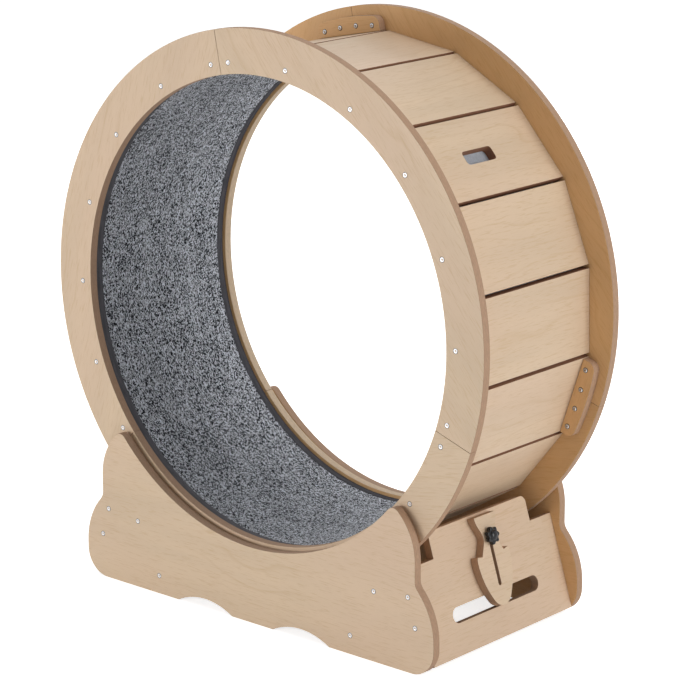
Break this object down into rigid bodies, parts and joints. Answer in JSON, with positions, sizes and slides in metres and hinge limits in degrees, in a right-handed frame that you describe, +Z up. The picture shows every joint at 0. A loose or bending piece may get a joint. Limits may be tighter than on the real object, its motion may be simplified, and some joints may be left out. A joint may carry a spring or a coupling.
{
  "type": "cat exercise wheel",
  "caption": "Upright exercise wheel for a cat: a carpet-lined drum of wooden slats between two ring boards, on rollers in a low wooden base with a sliding latch.",
  "frame": {"origin": "on the floor, under the middle of the wheel", "axes": "+Z up; Y along the wheel's axle line, with -Y the front side; +X towards the end with the latch"},
  "size_m": [0.91, 0.3874, 0.972],
  "materials": {
    "board": "satin, ash-coloured veneer",
    "mat": "heathered carpet",
    "screw_steel": "zinc-plated",
    "zinc_steel": "zinc-plated, dull",
    "bearing_steel": "ground",
    "roller_plastic": "matte",
    "knob_plastic": "glossy"
  },
  "bodies": {
    "base": {"front_side_panel": "board", "rear_side_panel": "board", "left_end_board": "board", "right_end_board": "board", "left_roller_board": "board", "right_roller_board": "board", "roller_bracket_front_left": "zinc_steel", "roller_bracket_front_right": "zinc_steel", "roller_bracket_rear_left": "zinc_steel", "roller_bracket_rear_right": "zinc_steel", "panel_screws": "screw_steel", "roller_axles": "zinc_steel", "bracket_screws": "screw_steel", "tee_nut": "screw_steel"},
    "wheel": {"front_ring_segment_1": "board", "front_ring_segment_2": "board", "front_ring_segment_3": "board", "rear_ring_segment_1": "board", "rear_ring_segment_2": "board", "rear_ring_segment_3": "board", "front_splice_1": "board", "front_splice_2": "board", "front_splice_3": "board", "rear_splice_1": "board", "rear_splice_2": "board", "rear_splice_3": "board", "slat_01": "board", "slat_02": "board", "slat_03": "board", "slat_04": "board", "slat_05": "board", "slat_06": "board", "slat_07": "board", "slat_08": "board", "slat_09": "board", "slat_10": "board", "slat_11": "board", "slat_12": "board", "slat_13": "board", "slat_14": "board", "slat_15": "board", "slat_16": "board", "slat_17": "board", "slat_18": "board", "running_mat": "mat", "ring_screws": "screw_steel", "splice_screws": "screw_steel"},
    "front_left_roller": {"roller_front_left": "roller_plastic", "bearing_front_left": "bearing_steel"},
    "front_right_roller": {"roller_front_right": "roller_plastic", "bearing_front_right": "bearing_steel"},
    "rear_left_roller": {"roller_rear_left": "roller_plastic", "bearing_rear_left": "bearing_steel"},
    "rear_right_roller": {"roller_rear_right": "roller_plastic", "bearing_rear_right": "bearing_steel"},
    "latch": {"latch_plate": "board"},
    "knob": {"star_knob": "knob_plastic", "knob_stud": "screw_steel", "stud_washer": "screw_steel"}
  },
  "joints": [
    {"name": "wheel_spin", "type": "hinge", "parent": "base", "child": "wheel", "pos_m": [0, 0, 0.517], "axis": [0, 1, 0], "continuous": true},
    {"name": "front_left_roller_spin", "type": "hinge", "parent": "base", "child": "front_left_roller", "pos_m": [-0.19823, -0.1645, 0.08501], "axis": [0, 1, 0], "continuous": true},
    {"name": "front_right_roller_spin", "type": "hinge", "parent": "base", "child": "front_right_roller", "pos_m": [0.19823, -0.1645, 0.08501], "axis": [0, 1, 0], "continuous": true},
    {"name": "rear_left_roller_spin", "type": "hinge", "parent": "base", "child": "rear_left_roller", "pos_m": [-0.19823, 0.1645, 0.08501], "axis": [0, 1, 0], "continuous": true},
    {"name": "rear_right_roller_spin", "type": "hinge", "parent": "base", "child": "rear_right_roller", "pos_m": [0.19823, 0.1645, 0.08501], "axis": [0, 1, 0], "continuous": true},
    {"name": "latch_slide", "type": "slide", "parent": "base", "child": "latch", "axis": [-0.3007, 0, 0.9537], "range_m": [0, 0.027]},
    {"name": "knob_turn", "type": "hinge", "parent": "base", "child": "knob", "pos_m": [0.3218, 0, 0.17165], "axis": [0.9537, 0, 0.3007], "range_deg": [0, 360]}
  ],
  "couplings": [
    {"joint": "front_left_roller_spin", "follows": "wheel_spin", "ratio": -22.75},
    {"joint": "front_right_roller_spin", "follows": "wheel_spin", "ratio": -22.75},
    {"joint": "rear_left_roller_spin", "follows": "wheel_spin", "ratio": -22.75},
    {"joint": "rear_right_roller_spin", "follows": "wheel_spin", "ratio": -22.75}
  ]
}
